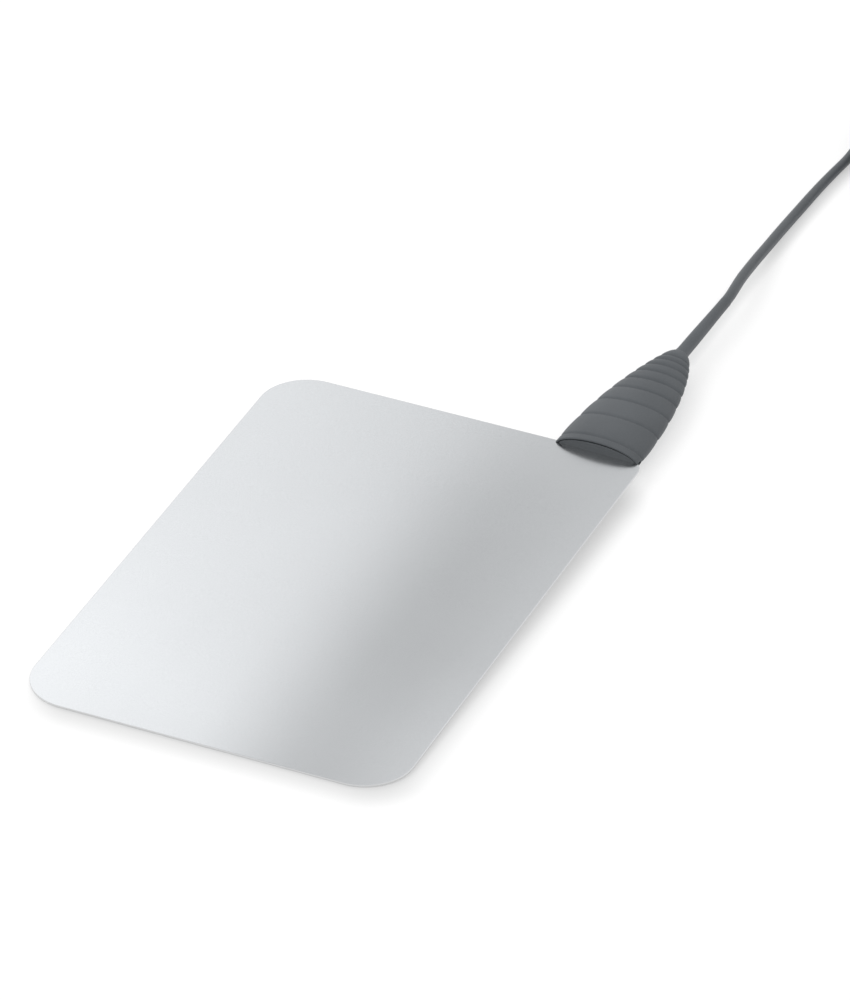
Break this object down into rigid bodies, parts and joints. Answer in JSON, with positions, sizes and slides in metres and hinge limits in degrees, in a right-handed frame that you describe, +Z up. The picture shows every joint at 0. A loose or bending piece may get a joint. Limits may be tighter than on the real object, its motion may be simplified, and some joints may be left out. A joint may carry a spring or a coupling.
{
  "type": "electrosurgical return electrode",
  "caption": "Reusable return electrode: a thin rounded steel plate with a ringed rubber boot clamped over one corner and a lead that ends in a jack plug",
  "frame": {"origin": "on the surface it lies on, at the middle of the box round the plate and its boot", "axes": "+X across the plate towards the boot's side, +Y along the plate from the near edge to the boot and the lead, +Z up"},
  "size_m": [0.2191, 0.5516, 0.0185],
  "materials": {
    "satin_steel": "satin, fine blasted grain with a soft sheen",
    "boot_rubber": "dark cool grey, matte with a soft sheen",
    "insert_plastic": "moulded, matte",
    "cable_jacket": "dark cool grey, smooth and slightly satin",
    "tinned_copper": "tin plate, dull",
    "bare_copper": "stranded copper",
    "nickel": "bright nickel plate",
    "insulator": "black, turned",
    "tie_strap": "black hook-and-loop webbing"
  },
  "bodies": {
    "root": {"electrode_plate": "satin_steel", "boot": "boot_rubber", "insert_upper": "insert_plastic", "insert_lower": "insert_plastic", "rivet": "satin_steel", "ring_terminal": "tinned_copper", "boot_conductor_end": "bare_copper", "boot_cable_end": "cable_jacket", "boot_ferrule": "tinned_copper", "cable": "cable_jacket", "cable_coil": "cable_jacket", "coil_tie_left": "tie_strap", "coil_tie_front": "tie_strap", "cable_tail": "cable_jacket", "plug_strain_relief": "boot_rubber", "plug_grip": "boot_rubber", "plug_sleeve": "nickel", "plug_insulator": "insulator", "plug_tip": "nickel", "plug_rear_bush": "insulator", "plug_conductor_end": "bare_copper", "plug_cable_end": "cable_jacket", "plug_ferrule": "tinned_copper"}
  },
  "joints": []
}
